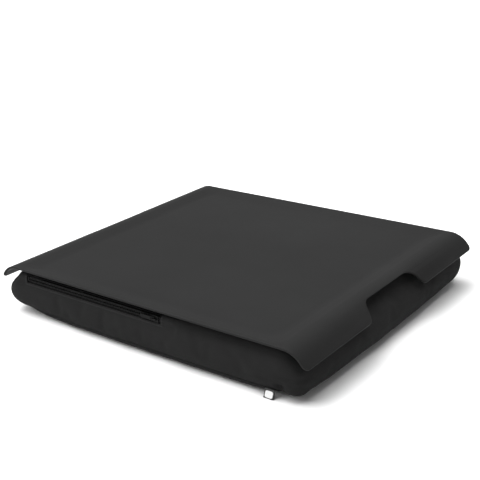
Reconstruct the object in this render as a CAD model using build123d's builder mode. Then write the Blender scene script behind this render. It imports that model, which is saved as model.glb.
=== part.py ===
"""Lap tray: a moulded tray with two carrying wings, held on a bead cushion by hook and loop.

Millimetres. X runs along the tray's long side, -Y is the side with the zip, +Z is up.
The origin is on the surface that the cushion stands on, under the middle of the tray.
"""
from math import atan, cos, hypot, radians, sin, tan
import os

from build123d import *

os.makedirs("parts", exist_ok=True)

# Tray
tray_length = 452.0
tray_depth = 380.0
overall_height = 62.0
tray_wall = 3.0
rim_width = 4.0
dish_depth = 3.0
dish_slope = 17.0
dish_corner = 15.0
dish_top_round = 30.0
dish_floor_round = 55.0
edge_bevel = 0.5

# Wings, which curve down from the tray's ends, and the hand grip cut in each
wing_radius = 30.0
wing_angle = 50.0
wing_straight = 9.5
wing_corner = 7.0
grip_width = 124.0
grip_depth = 24.0
grip_flare = 11.0
grip_inner_round = 16.0
grip_outer_round = 5.0

# Hook strips under the tray and loop strips on the cushion
strip_length = 110.0
strip_width = 25.0
strip_thick = 1.2
strip_gap = 0.3
strip_end_inset = 66.0
strip_side_inset = 62.5
strip_corner = 4.0

# Cushion, whose fullest outline lies this far inside the tray's
cushion_end_inset = 4.0
cushion_side_inset = 0.4
cushion_corner = 24.0
border_gap = 2.5
border_inset = 6.5
pressed_slope = 16.0
cover_thick = 1.2
liner_thick = 0.6
top_seam = 1.8

# Zip in the near side of the cover, from its closed end at the left to its stop at the right
zip_end_inset = 41.0
zip_length = 216.6
zip_height = 49.0
zip_window = 9.4
zip_setback = 4.9
facing_wall = 0.8
tape_thick = 0.9
tape_lap = 0.9
teeth_slit = 1.0
teeth_width = 1.8
teeth_thick = 2.4
teeth_pitch = 2.6
tooth_length = 1.5
bead_width = 0.7
stop_length = 1.6
stop_wall = 0.4
zip_clearance = 0.25
pocket_room = 1.4

# Slider and its pull
slider_length = 10.0
slider_nose = 2.0
slider_plate = 1.1
slider_lip = 0.7
slider_post = 0.5
slider_post_length = 2.2
slider_gap = 0.3
bridge_length = 6.4
bridge_width = 1.8
bridge_wire = 0.8
pull_clearance = 0.3
pull_thick = 1.2
pull_width = 4.4
pull_length = 20.0
pull_eye_width = 2.6
pull_eye_length = 5.0
pull_end_round = 1.4

# Label loop, sewn in the near side's bottom seam beside the right-hand corner
label_side_share = 0.992
label_width = 12.0
label_thick = 0.5
label_open = 0.7
label_length = 10.0
label_lean = 24.0
label_grip = 0.5

# One overrun serves every cut
overrun = 5.0

# Heights, lengths and halves that follow
rim_under = overall_height - tray_wall
field_under = overall_height - dish_depth - tray_wall
cushion_top = field_under - 2 * strip_thick - strip_gap
border_top = rim_under - border_gap
wing_turn = radians(wing_angle)
wing_reach = wing_radius * sin(wing_turn) + wing_straight * cos(wing_turn)
wing_drop = wing_radius * (1 - cos(wing_turn)) + wing_straight * sin(wing_turn)
crest_half = tray_length / 2 - wing_reach
cushion_length = tray_length - 2 * cushion_end_inset
cushion_depth = tray_depth - 2 * cushion_side_inset
zip_left = zip_end_inset - cushion_length / 2
zip_right = zip_left + zip_length
strip_spot_x = tray_length / 2 - strip_end_inset - strip_length / 2
strip_spot_y = tray_depth / 2 - strip_side_inset - strip_width / 2

# Cushion outline at rising levels. Each row: height as a share of the border's height, half length and
# half depth as shares of the cushion's halves, corner radius as a share of the cushion's corner, and the
# bow of the sides as a share of the corner too: out where positive, drawn in where negative.
cushion_level_shares = (
    (0.000, 0.837, 0.851, 3.55, 0.33),
    (0.018, 0.917, 0.950, 3.34, 0.29),
    (0.062, 0.958, 0.988, 2.56, 0.21),
    (0.160, 0.993, 0.999, 1.55, 0.14),
    (0.265, 1.000, 1.000, 1.02, 0.10),
    (0.460, 0.995, 1.000, 0.60, 0.06),
    (0.620, 0.975, 0.992, 0.42, 0.04),
    (0.761, 0.938, 0.987, 0.36, 0.02),
    (0.885, 0.909, 0.985, 0.35, -0.02),
    (0.970, 0.891, 0.982, 0.35, -0.04),
    (1.000, 0.878, 0.970, 0.36, -0.06),
)
seam_level_shares = cushion_level_shares[3]
bottom_seam = border_top * seam_level_shares[0]


def side_arcs(half_length, half_depth, corner, bow):
    """Eight arcs, as point triples, of a rounded rectangle whose sides are bowed."""
    long_radius = (half_length**2 + bow**2) / (2 * bow)
    short_radius = (half_depth**2 + bow**2) / (2 * bow)
    long_spot = Vector(0, half_depth - long_radius)
    short_spot = Vector(half_length - short_radius, 0)
    reach_long = abs(long_radius - corner)
    reach_short = abs(short_radius - corner)
    between = (short_spot - long_spot).length
    along = (reach_long**2 - reach_short**2 + between**2) / (2 * between)
    across = (reach_long**2 - along**2) ** 0.5
    way = (short_spot - long_spot) / between
    foot = long_spot + way * along
    normal = Vector(-way.Y, way.X) * across
    square_centre = Vector(half_length - corner, half_depth - corner)
    centre = min((foot + normal, foot - normal), key=lambda spot: (spot - square_centre).length)
    meet_long = long_spot + (centre - long_spot) * (long_radius / (long_radius - corner))
    meet_short = short_spot + (centre - short_spot) * (short_radius / (short_radius - corner))
    middle = centre + (meet_long + meet_short - centre * 2).normalized() * corner

    def turned(point, x_sign, y_sign):
        return (point.X * x_sign, point.Y * y_sign)

    return (
        (turned(meet_short, 1, -1), (half_length, 0), turned(meet_short, 1, 1)),
        (turned(meet_short, 1, 1), turned(middle, 1, 1), turned(meet_long, 1, 1)),
        (turned(meet_long, 1, 1), (0, half_depth), turned(meet_long, -1, 1)),
        (turned(meet_long, -1, 1), turned(middle, -1, 1), turned(meet_short, -1, 1)),
        (turned(meet_short, -1, 1), (-half_length, 0), turned(meet_short, -1, -1)),
        (turned(meet_short, -1, -1), turned(middle, -1, -1), turned(meet_long, -1, -1)),
        (turned(meet_long, -1, -1), (0, -half_depth), turned(meet_long, 1, -1)),
        (turned(meet_long, 1, -1), turned(middle, 1, -1), turned(meet_short, 1, -1)),
    )


def level_arcs(level_shares, skin):
    """The cushion's outline at one level, drawn in by the given skin."""
    height_share, length_share, depth_share, corner_share, bow_share = level_shares
    return side_arcs(
        cushion_length / 2 * length_share - skin,
        cushion_depth / 2 * depth_share - skin,
        cushion_corner * corner_share - skin,
        cushion_corner * bow_share,
    )


def dished_block(top, depth, slope, inset):
    """The space of the tray's dish, drawn in by inset, with sides that slope in to its floor."""
    half_length = crest_half - rim_width - inset
    half_depth = tray_depth / 2 - rim_width - inset
    with BuildPart() as block:
        with BuildSketch(Plane.XY.offset(top)):
            RectangleRounded(2 * half_length, 2 * half_depth, dish_corner)
        with BuildSketch(Plane.XY.offset(top - depth)):
            RectangleRounded(2 * (half_length - slope), 2 * (half_depth - slope), dish_corner)
        loft(ruled=True)
    return block.part


def level_faces(tray):
    """The tray's four level faces: under the dish, under the rim, the dish's floor and the rim's top."""
    return tray.faces().filter_by(Plane.XY).sort_by(lambda face: face.center().Z + face.normal_at().Z)


def cushion_form(skin):
    """The cushion's body, drawn in on every side by the given skin, its top pressed in by the tray."""
    rise = border_top - 2 * skin
    with BuildPart() as form:
        for level_shares in cushion_level_shares:
            with BuildSketch(Plane.XY.offset(skin + rise * level_shares[0])):
                with BuildLine():
                    for start, middle, end in level_arcs(level_shares, skin):
                        ThreePointArc(start, middle, end)
                make_face()
        loft(ruled=True)
        add(
            dished_block(border_top - skin, border_top - cushion_top, pressed_slope, border_inset - skin),
            mode=Mode.SUBTRACT,
        )
    return form.part


def zip_block(room, back, front):
    """Block over the zip's window, larger by room along and across, between two planes of constant Y."""
    length = zip_right - zip_left + 2 * room
    with BuildPart() as block:
        with BuildSketch(Plane(((zip_left + zip_right) / 2, back, zip_height), (1, 0, 0), (0, -1, 0))):
            Rectangle(length, zip_window + 2 * room)
        extrude(amount=back - front)
    return block.part


def slab(low, high):
    """Slab wider than the whole part, between two heights."""
    with BuildPart() as block:
        with BuildSketch(Plane.XY.offset(low)):
            Rectangle(tray_length + overrun, tray_depth + overrun)
        extrude(amount=high - low)
    return block.part


# Tray panel: one profile carries both wings, then the field is dished and the hand grips are cut
bend_centre = Vector(crest_half, overall_height - wing_radius)
bend_out = Vector(sin(wing_turn), cos(wing_turn))
bend_out_middle = Vector(sin(wing_turn / 2), cos(wing_turn / 2))
wing_bend = bend_centre + bend_out * wing_radius
wing_tip = Vector(tray_length / 2, overall_height - wing_drop)
dish_angle = atan(dish_depth / dish_slope)

with BuildPart() as tray_panel:
    with BuildSketch(Plane.XZ):
        with BuildLine():
            top_line = Line((0, overall_height), (crest_half, overall_height))
            top_bend = ThreePointArc(
                top_line @ 1,
                bend_centre + bend_out_middle * wing_radius,
                wing_bend,
            )
            top_wing = Line(top_bend @ 1, wing_tip)
            tip_line = Line(top_wing @ 1, wing_tip - bend_out * tray_wall)
            under_wing = Line(tip_line @ 1, wing_bend - bend_out * tray_wall)
            under_bend = ThreePointArc(
                under_wing @ 1,
                bend_centre + bend_out_middle * (wing_radius - tray_wall),
                (crest_half, rim_under),
            )
            Line(under_bend @ 1, (0, rim_under))
            mirror(about=Plane.YZ)
        make_face()
    extrude(amount=tray_depth / 2, both=True)
    add(dished_block(rim_under, dish_depth, dish_slope, -tray_wall * tan(dish_angle / 2)))
    add(dished_block(overall_height, dish_depth, dish_slope, 0), mode=Mode.SUBTRACT)
    for side in (1, -1):
        grip_plane = Plane(
            origin=(side * wing_tip.X, 0, wing_tip.Y),
            x_dir=(0, side, 0),
            z_dir=(side * bend_out.X, 0, bend_out.Y),
        )
        half = grip_width / 2
        run_out = overrun * grip_flare / grip_depth
        with BuildSketch(grip_plane) as grip_outline:
            with BuildLine():
                Polyline(
                    (-half - run_out, -overrun),
                    (-half + grip_flare, grip_depth),
                    (half - grip_flare, grip_depth),
                    (half + run_out, -overrun),
                    close=True,
                )
            make_face()
            fillet(grip_outline.vertices().group_by(Axis.Y)[-1], grip_inner_round)
        extrude(amount=wing_radius, both=True, mode=Mode.SUBTRACT)
        wall_edges = tray_panel.edges().filter_by(Axis((0, 0, 0), grip_plane.z_dir))
        tip_edges = wall_edges.filter_by_position(Axis.X, *sorted((side * wing_bend.X, side * tray_length)))
        by_width = tip_edges.sort_by(Axis.Y)
        fillet((by_width[0], by_width[-1]), wing_corner)
        wall_edges = tray_panel.edges().filter_by(Axis((0, 0, 0), grip_plane.z_dir))
        tip_edges = wall_edges.filter_by_position(Axis.X, *sorted((side * wing_bend.X, side * tray_length)))
        fillet(tip_edges.filter_by_position(Axis.Y, -half - run_out, half + run_out), grip_outer_round)
    fillet(level_faces(tray_panel)[-1].inner_wires()[0].edges(), dish_top_round)
    fillet(level_faces(tray_panel)[-2].outer_wire().edges(), dish_floor_round)
    fillet(level_faces(tray_panel)[1].inner_wires()[0].edges(), dish_top_round - tray_wall)
    fillet(level_faces(tray_panel)[0].outer_wire().edges(), dish_floor_round + tray_wall)
    long_edges = tray_panel.edges().filter_by(Axis.X).group_by(SortBy.LENGTH)[-1]
    chamfer(long_edges, edge_bevel)
tray_panel.part.label = "tray_panel"
export_step(tray_panel.part, "parts/tray_panel.step")

# Hook strips on the tray's underside, and loop strips on the cushion under them
for column, column_sign in (("left", -1), ("right", 1)):
    for row, row_sign in (("front", -1), ("rear", 1)):
        for kind, low in (("hook", field_under - strip_thick), ("loop", cushion_top)):
            with BuildPart() as strip:
                with BuildSketch(Plane.XY.offset(low)):
                    with Locations((column_sign * strip_spot_x, row_sign * strip_spot_y)):
                        RectangleRounded(strip_length, strip_width, strip_corner)
                extrude(amount=strip_thick)
            strip.part.label = f"{kind}_strip_{row}_{column}"
            export_step(strip.part, f"parts/{kind}_strip_{row}_{column}.step")

# Depths across the zip, from the middle of its tapes outwards
zip_middle = -(cushion_depth / 2 - zip_setback)
tape_front = zip_middle - tape_thick / 2
channel_half = teeth_thick / 2 + zip_clearance
pocket_back = zip_middle + channel_half + slider_plate + pocket_room
skin_front = -(cushion_depth / 2 + overrun)

# Cushion from the inside out: beads, liner bag and cover share their faces
cover_outer = cushion_form(0)
cover_inner = cushion_form(cover_thick)
liner_inner = cushion_form(cover_thick + liner_thick)
pocket_reach = tape_lap + pocket_room

with BuildPart() as bead_filling:
    add(liner_inner)
    add(zip_block(pocket_reach + liner_thick, pocket_back + liner_thick, skin_front), mode=Mode.SUBTRACT)
bead_filling.part.label = "bead_filling"
export_step(bead_filling.part, "parts/bead_filling.step")

with BuildPart() as liner_bag:
    add(cover_inner)
    add(zip_block(pocket_reach, pocket_back, skin_front), mode=Mode.SUBTRACT)
    add(bead_filling.part, mode=Mode.SUBTRACT)
liner_bag.part.label = "liner_bag"
export_step(liner_bag.part, "parts/liner_bag.step")

# Label loop: a ribbon folded on itself, its ends caught in the seam, leaning out over the surface
near_seam = Edge.make_three_point_arc(*level_arcs(seam_level_shares, 0)[-2])
label_spot = near_seam @ label_side_share
label_way = near_seam % label_side_share
label_out = Vector(label_way.Y, -label_way.X)
label_plane = Plane(
    origin=(label_spot.X, label_spot.Y, bottom_seam),
    x_dir=(label_out.X, label_out.Y, 0),
    z_dir=(-label_way.X, -label_way.Y, 0),
)
loop_width = 2 * label_thick + label_open
label_turn = label_lean - 90
lean = radians(label_lean)
loop_middle = (label_length / 2 - label_grip) * Vector(sin(lean), -cos(lean))

with BuildPart() as label_loop:
    with BuildSketch(label_plane):
        with Locations((loop_middle.X, loop_middle.Y)):
            SlotOverall(label_length, loop_width, rotation=label_turn)
            SlotOverall(label_length - 2 * label_thick, label_open, rotation=label_turn, mode=Mode.SUBTRACT)
    extrude(amount=label_width / 2, both=True)
label_loop.part.label = "label_loop"
export_step(label_loop.part, "parts/label_loop.step")

with BuildPart() as label_room:
    with BuildSketch(label_plane):
        with Locations((loop_middle.X, loop_middle.Y)):
            SlotOverall(label_length, loop_width, rotation=label_turn)
    extrude(amount=label_width / 2, both=True)

# Cover panels, cut from one skin along the seams
seam_height = border_top - top_seam
with BuildPart() as cover_skin:
    add(cover_outer)
    add(cover_inner, mode=Mode.SUBTRACT)

with BuildPart() as top_zone:
    add(slab(seam_height, border_top + overrun))
    with BuildSketch(Plane.XY.offset(cushion_top - cover_thick - overrun)):
        RectangleRounded(
            2 * (crest_half - rim_width - border_inset),
            2 * (tray_depth / 2 - rim_width - border_inset),
            dish_corner,
        )
    extrude(amount=top_seam + cover_thick + overrun)

with BuildPart() as cover_top_panel:
    add(cover_skin.part)
    add(top_zone.part, mode=Mode.INTERSECT)
cover_top_panel.part.label = "cover_top_panel"
export_step(cover_top_panel.part, "parts/cover_top_panel.step")

with BuildPart() as cover_bottom_panel:
    add(cover_skin.part)
    add(slab(bottom_seam, border_top + overrun), mode=Mode.SUBTRACT)
    add(label_room.part, mode=Mode.SUBTRACT)
cover_bottom_panel.part.label = "cover_bottom_panel"
export_step(cover_bottom_panel.part, "parts/cover_bottom_panel.step")

# Side band, with the zip's window and the edges that fold in round it
with BuildPart() as zip_facing:
    add(zip_block(facing_wall, tape_front, skin_front))
    add(zip_block(0, tape_front, skin_front), mode=Mode.SUBTRACT)
    add(cover_outer, mode=Mode.INTERSECT)

with BuildPart() as cover_side_band:
    add(cover_skin.part)
    add(top_zone.part, mode=Mode.SUBTRACT)
    add(slab(-overrun, bottom_seam), mode=Mode.SUBTRACT)
    add(zip_block(tape_lap, pocket_back, tape_front), mode=Mode.SUBTRACT)
    add(zip_block(0, pocket_back, skin_front), mode=Mode.SUBTRACT)
    add(zip_facing.part)
    add(label_room.part, mode=Mode.SUBTRACT)
cover_side_band.part.label = "cover_side_band"
export_step(cover_side_band.part, "parts/cover_side_band.step")

# Zip tapes and their rows of teeth, above and below the slider's path
row_edge = teeth_slit / 2 + teeth_width + bead_width
tape_edge = zip_window / 2 + tape_lap
chain_left = zip_left + stop_length + pocket_room
chain_right = zip_right - stop_length - pocket_room / 2
tooth_count = int((chain_right - chain_left - tooth_length) / teeth_pitch)
zip_plane = Plane((0, zip_middle, zip_height), (1, 0, 0), (0, -1, 0))

for row, row_sign in (("upper", 1), ("lower", -1)):
    with BuildPart() as zip_tape:
        with BuildSketch(zip_plane):
            with Locations(((zip_left + zip_right) / 2, row_sign * (row_edge + tape_edge) / 2)):
                Rectangle(zip_right - zip_left + 2 * tape_lap, tape_edge - row_edge)
        extrude(amount=tape_thick / 2, both=True)
    zip_tape.part.label = f"zip_tape_{row}"
    export_step(zip_tape.part, f"parts/zip_tape_{row}.step")

    with BuildPart() as zip_teeth:
        with BuildSketch(zip_plane):
            with Locations(((chain_left + chain_right) / 2, row_sign * (row_edge - bead_width / 2))):
                Rectangle(chain_right - chain_left, bead_width)
            first_tooth = chain_left + tooth_length / 2 + (row_sign + 1) * teeth_pitch / 4
            tooth_height = row_sign * (teeth_slit + teeth_width) / 2
            for count in range(tooth_count):
                with Locations((first_tooth + count * teeth_pitch, tooth_height)):
                    Rectangle(tooth_length, teeth_width)
        extrude(amount=teeth_thick / 2, both=True)
    zip_teeth.part.label = f"zip_teeth_{row}"
    export_step(zip_teeth.part, f"parts/zip_teeth_{row}.step")

# Stops at the chain's ends, clamped over both rows
for end, low, high in (
    ("bottom", chain_left - stop_length, chain_left),
    ("top", chain_right, chain_right + stop_length),
):
    with BuildPart() as zip_stop:
        with BuildSketch(zip_plane):
            with Locations(((low + high) / 2, 0)):
                Rectangle(high - low, 2 * row_edge)
        extrude(amount=teeth_thick / 2 + stop_wall, both=True)
    zip_stop.part.label = f"zip_{end}_stop"
    export_step(zip_stop.part, f"parts/zip_{end}_stop.step")

# Slider: two plates joined by a post in the slit, lips round the rows, and a bridge for the pull
slider_middle = chain_right - slider_gap - slider_length / 2
channel_edge = row_edge + zip_clearance
slider_half = channel_edge + slider_lip
plate_out = channel_half + slider_plate
bridge_rise = 2 * pull_clearance + pull_thick
lip_slot = tape_thick / 2 + zip_clearance

with BuildPart() as zip_slider:
    for face_sign in (1, -1):
        with BuildSketch(zip_plane.offset(face_sign * channel_half)):
            with BuildLine():
                Polyline(
                    (slider_middle - slider_length / 2, -slider_half + slider_lip),
                    (slider_middle + slider_length / 2 - slider_nose, -slider_half),
                    (slider_middle + slider_length / 2, -slider_half + slider_lip),
                    (slider_middle + slider_length / 2, slider_half - slider_lip),
                    (slider_middle + slider_length / 2 - slider_nose, slider_half),
                    (slider_middle - slider_length / 2, slider_half - slider_lip),
                    close=True,
                )
            make_face()
        extrude(amount=face_sign * slider_plate)
        for lip_sign in (1, -1):
            with BuildSketch(zip_plane.offset(face_sign * lip_slot)):
                with Locations((slider_middle, lip_sign * (channel_edge + slider_lip / 2))):
                    Rectangle(slider_length - 2 * slider_nose, slider_lip)
            extrude(amount=face_sign * (channel_half - lip_slot + slider_plate / 2))
    with BuildSketch(zip_plane.offset(-channel_half)):
        with Locations((slider_middle + slider_length / 2 - slider_post_length / 2, 0)):
            Rectangle(slider_post_length, slider_post)
    extrude(amount=2 * channel_half)
    with BuildSketch(Plane((slider_middle, zip_middle, zip_height), (1, 0, 0), (0, 0, 1))):
        with Locations((0, -plate_out - (bridge_rise + bridge_wire) / 2)):
            Rectangle(bridge_length, bridge_rise + bridge_wire)
        with Locations((0, -plate_out - bridge_rise / 2)):
            Rectangle(bridge_length - 2 * bridge_wire, bridge_rise, mode=Mode.SUBTRACT)
    extrude(amount=bridge_width / 2, both=True)
zip_slider.part.label = "zip_slider"
export_step(zip_slider.part, "parts/zip_slider.step")

# Pull: an eye round the bridge, a tab, and a crossbar under the bridge that it turns on
pull_depth = plate_out + pull_clearance + pull_thick / 2
pull_plane = zip_plane.offset(pull_depth - pull_thick / 2)
pivot = Vector(slider_middle, zip_middle - pull_depth)
with BuildPart() as zip_pull:
    with BuildSketch(pull_plane) as pull_outline:
        with Locations((slider_middle - pull_length / 2, 0)):
            Rectangle(pull_length, pull_width)
        fillet(pull_outline.vertices().group_by(Axis.X)[0], pull_end_round)
        with Locations((slider_middle - pull_eye_length / 2, 0)):
            Rectangle(pull_eye_length, pull_eye_width, mode=Mode.SUBTRACT)
    extrude(amount=pull_thick)
    with BuildSketch(Plane.XY.offset(zip_height)):
        with Locations((pivot.X, pivot.Y)):
            Circle(pull_thick / 2)
    extrude(amount=pull_width / 2, both=True)
zip_pull.part.label = "zip_pull"
export_step(zip_pull.part, "parts/zip_pull.step")

print("slider travel", round(slider_middle - slider_length / 2 - chain_left - slider_gap, 3))
print("pull pivot", round(pivot.X, 3), round(pivot.Y, 3), zip_height)
print("label", [round(value, 2) for value in label_spot])
print("heights", cushion_top, border_top, round(bottom_seam, 3))
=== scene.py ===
"""Lap tray on its bead cushion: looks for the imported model, in metres, in the part's own frame."""
import math

import bmesh
import bpy
import numpy as np
from mathutils import Matrix, Vector, noise


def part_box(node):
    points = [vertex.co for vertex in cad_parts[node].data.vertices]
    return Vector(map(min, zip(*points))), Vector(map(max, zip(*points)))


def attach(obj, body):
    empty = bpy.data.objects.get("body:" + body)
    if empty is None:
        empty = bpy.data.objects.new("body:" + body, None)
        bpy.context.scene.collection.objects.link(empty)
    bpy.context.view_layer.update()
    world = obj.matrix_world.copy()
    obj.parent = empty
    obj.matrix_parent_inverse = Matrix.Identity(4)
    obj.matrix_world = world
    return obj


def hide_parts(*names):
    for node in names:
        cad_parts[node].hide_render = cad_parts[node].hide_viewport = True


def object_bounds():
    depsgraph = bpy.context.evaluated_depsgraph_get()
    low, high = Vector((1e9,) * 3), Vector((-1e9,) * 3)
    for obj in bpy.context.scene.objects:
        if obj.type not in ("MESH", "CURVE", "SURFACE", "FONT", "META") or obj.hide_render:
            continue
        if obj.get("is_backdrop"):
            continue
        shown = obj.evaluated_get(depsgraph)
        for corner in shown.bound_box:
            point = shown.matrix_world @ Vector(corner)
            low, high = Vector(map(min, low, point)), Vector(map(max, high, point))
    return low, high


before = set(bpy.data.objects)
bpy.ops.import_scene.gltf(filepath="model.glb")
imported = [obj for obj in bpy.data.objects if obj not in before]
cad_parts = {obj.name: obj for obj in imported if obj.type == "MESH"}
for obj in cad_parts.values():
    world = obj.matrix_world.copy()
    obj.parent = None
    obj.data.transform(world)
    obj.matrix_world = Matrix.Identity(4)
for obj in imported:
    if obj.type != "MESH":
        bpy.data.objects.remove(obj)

cad_low, cad_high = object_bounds()
MM = 0.001
same_point = 0.001 * MM
same_length = 0.01 * MM

# Tray: the part's own sizes, but its edges and the hand grips' outer corners as round as in the photograph
tray_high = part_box("tray_panel")[1]
tray_half_depth = tray_high.y
tray_top = tray_high.z
tray_wall = 3 * MM
rim_width = 4 * MM
dish_depth = 3 * MM
dish_slope = 17 * MM
dish_corner = 15 * MM
dish_top_round = 30 * MM
dish_floor_round = 55 * MM
wing_radius = 30 * MM
wing_angle = math.radians(50)
wing_straight = 9.5 * MM
wing_corner = 7 * MM
wing_half_length = 226 * MM
crest_half = wing_half_length - wing_radius * math.sin(wing_angle) - wing_straight * math.cos(wing_angle)
grip_width = 124 * MM
grip_depth = 24 * MM
grip_flare = 11 * MM
grip_inner_round = 16 * MM
grip_outer_round = 8 * MM
edge_round = 1.1 * MM
sharp_edge = math.radians(40)

# Cutters for the hand grips and the wings' corners
cutter_overrun = 10 * MM
cutter_slack = 0.05 * MM
cutter_reach = 30 * MM

# Cushion cover, in the part's own sizes
cushion_half_length = 222 * MM
cushion_half_depth = 189.6 * MM
cushion_corner = 24 * MM
border_top = 56.5 * MM
pressed_top = 53.3 * MM
pressed_slope = 16 * MM
flat_inset = 8 * pressed_slope
border_inset = 6.5 * MM
cover_thick = 1.2 * MM
# Rows: height, half length, half depth, corner and bow, as shares of the sizes above
cushion_level_shares = (
    (0.000, 0.837, 0.851, 3.55, 0.33),
    (0.018, 0.917, 0.950, 3.34, 0.29),
    (0.062, 0.958, 0.988, 2.56, 0.21),
    (0.160, 0.993, 0.999, 1.55, 0.14),
    (0.265, 1.000, 1.000, 1.02, 0.10),
    (0.460, 0.995, 1.000, 0.60, 0.06),
    (0.620, 0.975, 0.992, 0.42, 0.04),
    (0.761, 0.938, 0.987, 0.36, 0.02),
    (0.885, 0.909, 0.985, 0.35, -0.02),
    (0.970, 0.891, 0.982, 0.35, -0.04),
    (1.000, 0.878, 0.970, 0.36, -0.06),
)
pressed_half_length = crest_half - rim_width - border_inset
pressed_half_depth = tray_half_depth - rim_width - border_inset
side_levels = 24
outline_count = 240
bottom_seam_share = 0.160
bottom_seam = border_top * bottom_seam_share
top_seam = border_top - 1.8 * MM

# Zip's window in the cover's near side
tape_low, tape_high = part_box("zip_tape_upper")
zip_face = tape_low.y
zip_lap = 0.9 * MM
zip_height = 49.0 * MM
zip_window = 9.4 * MM
window_left = tape_low.x + zip_lap
window_right = tape_high.x - zip_lap
window_low = zip_height - zip_window / 2
window_high = zip_height + zip_window / 2

# Cover's cloth, swollen by its filling, and the solids that its panels stand for
cover_nodes = {
    "cover_top": "cover_top_panel", "cover_side": "cover_side_band", "cover_bottom": "cover_bottom_panel",
}
skin_inset = 0.1 * MM
cover_voxel = 5 * MM
cover_pressure = 4
swell_cap = 4 * MM
drawn_in_share = 0.2
held_from = border_top - 8 * MM
held_fade = 4 * MM
resting_below = 4 * MM
resting_fade = 2 * MM

# Cover's relief. Lumps: height, size and seed. Seams: height on the cushion, depth and reach.
bead_lumps = ((0.7 * MM, 46 * MM, 3.1), (0.12 * MM, 15 * MM, 7.7))
drawn_seams = ((bottom_seam, 1.3 * MM, 3.0 * MM), (top_seam, 0.7 * MM, 1.6 * MM))
seam_grooves = ((bottom_seam, 0.7 * MM), (top_seam, 0.5 * MM))
seam_step = 0.8 * MM
groove_reach = 0.1 * MM
lumps_begin = (1.5 * MM, 7 * MM)
lumps_end = (46 * MM, 52 * MM)
gather_rise = 0.15 * MM
gather_pitch = 7.5 * MM
gather_reach = 6 * MM
gather_wander = (60 * MM, 1.3)
# The near side leans in right of the zip: by how much, from which depth, how far past the zip and how high
lean_in = 4.5 * MM
lean_depths = (150 * MM, 180 * MM)
lean_past_zip = (6 * MM, 50 * MM)
lean_heights = (41 * MM, 55 * MM)
# Room for the zip's pull: behind it, below it, and how steeply the cloth may rise beyond that
pull_behind = 0.55 * MM
pull_below = 3 * MM
pull_slope = 0.5
# Folds of the gathered corner beside the label, and the fuller left corner: place, reach and height
corner_folds = (
    ((206 * MM, -178 * MM, 11 * MM), (18 * MM, 18 * MM, 12 * MM), 5.0 * MM),
    ((-214 * MM, -168 * MM, 27 * MM), (45 * MM, 75 * MM, 30 * MM), 3.4 * MM),
    ((191 * MM, -187 * MM, 15 * MM), (8 * MM, 12 * MM, 7 * MM), -4.2 * MM),
    ((203 * MM, -182 * MM, 28 * MM), (26 * MM, 16 * MM, 5 * MM), -2.4 * MM),
    ((176 * MM, -188 * MM, 22 * MM), (18 * MM, 12 * MM, 4 * MM), -1.0 * MM),
)

# Filling, drawn in from the cover's outside
liner_depth = cover_thick + 0.8 * MM
bead_depth = cover_thick + 2.0 * MM
filling_voxel = 6 * MM
behind_zip = zip_face + 6.5 * MM
room_beside_zip = 5 * MM
room_below_zip = 3 * MM
fold_wider = 1.8
fold_deeper = 1.5
bead_relief = 0.3 * MM
bead_groups = (6 * MM, 4.4)

# Hook and loop strips, and stitches
strips = ("front_left", "front_right", "rear_left", "rear_right")
stitch_length = 2.3 * MM
stitch_width = 0.42 * MM
stitch_step = 3.1 * MM
stitch_margin = 2 * MM
stitch_corner = 2.5 * MM
stitch_lift = 0.08 * MM
stitch_dip_share = 0.9

# Label: a ribbon folded on itself, with a plain pale bar on its front
label_half_width = 6 * MM
label_length = 10 * MM
label_lean = math.radians(24)
label_half_gap = 0.6 * MM
label_sink = 0.2 * MM
ribbon_thick = 0.45 * MM
ribbon_edge = 0.12 * MM
bar_half_width = 4.8 * MM
bar_half_height = 3.3 * MM
bar_height = 4.5 * MM
bar_depth = 4.5 * MM

# Finishes: the threads' pitch, the relief's depth and the roughness from one patch to the next
cover_pitch = 0.55 * MM
cover_thread_depth = 0.12 * MM
zip_pitch = 0.4 * MM
zip_thread_depth = 0.15 * MM
ribbon_pitch = 0.25 * MM
ribbon_thread_depth = 0.08 * MM
tray_grain_depth = 0.06 * MM
hard_grain_depth = 0.02 * MM
dimple_depth = 0.15 * MM
bead_round = 2 * MM
tray_roughness = (0.42, 0.52)
cloth_roughness = (0.8, 0.94)
tape_roughness = (0.65, 0.85)

# Greys, as shares of white
tray_greys = (0.0125, 0.022)
cover_greys_and_weave_shade = (0.007, 0.0175)
liner_greys = (0.55, 0.72)
bead_greys_and_gap_shade = (0.88, 0.6)
hook_greys_and_hollow_shade = (0.012, 0.03)
loop_greys_and_hollow_shade = (0.01, 0.03)
# The zip's tapes and teeth are painted darker than the cover's black cloth, as painted shade from the tray's
# rim above them.
zip_cloth_greys_with_shade = (0.003, 0.008)
zip_nylon_greys_with_shade = (0.003, 0.007)
zip_lacquer_greys = (0.003, 0.008)
thread_greys = (0.02, 0.04)
ribbon_greys_and_weave_shade = (0.018, 0.04)
bar_greys_and_weave_shade = (0.6, 0.8)
floor_grey = 0.86

# A Mix node's sockets when it mixes colours, which their names don't tell apart
mix_share, mix_first, mix_second, mix_result = 0, 6, 7, 2

# Camera at the photograph's viewing angle
camera_place = Vector((0.65624, -0.8363, 0.47423))
camera_aim = Vector((-0.05265, 0.07208, 0.040))
camera_roll = math.radians(-2.527)
camera_lens = 68.598
camera_sensor = 36
camera_near = 50 * MM

# Studio: suns as wide as diffusers, with their place and strength, and the world's grey by height
floor_size = 80
sun_width = math.radians(65)
suns = (("key_light", (-1.0, -0.5, 1.35), 3.2), ("top_light", (-0.25, 0.15, 1.5), 3.0))
world_greys = ((0.2, 0.50), (0.6, 0.30))
world_strength = 1.0
world_seen_strength = 4.0


def clear_selection():
    """Leaves edit mode and selects nothing."""
    if bpy.context.object and bpy.context.object.mode != "OBJECT":
        bpy.ops.object.mode_set(mode="OBJECT")
    bpy.ops.object.select_all(action="DESELECT")


def only(piece):
    """Selects one piece alone and makes it active."""
    clear_selection()
    piece.select_set(True)
    bpy.context.view_layer.objects.active = piece
    return piece


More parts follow.
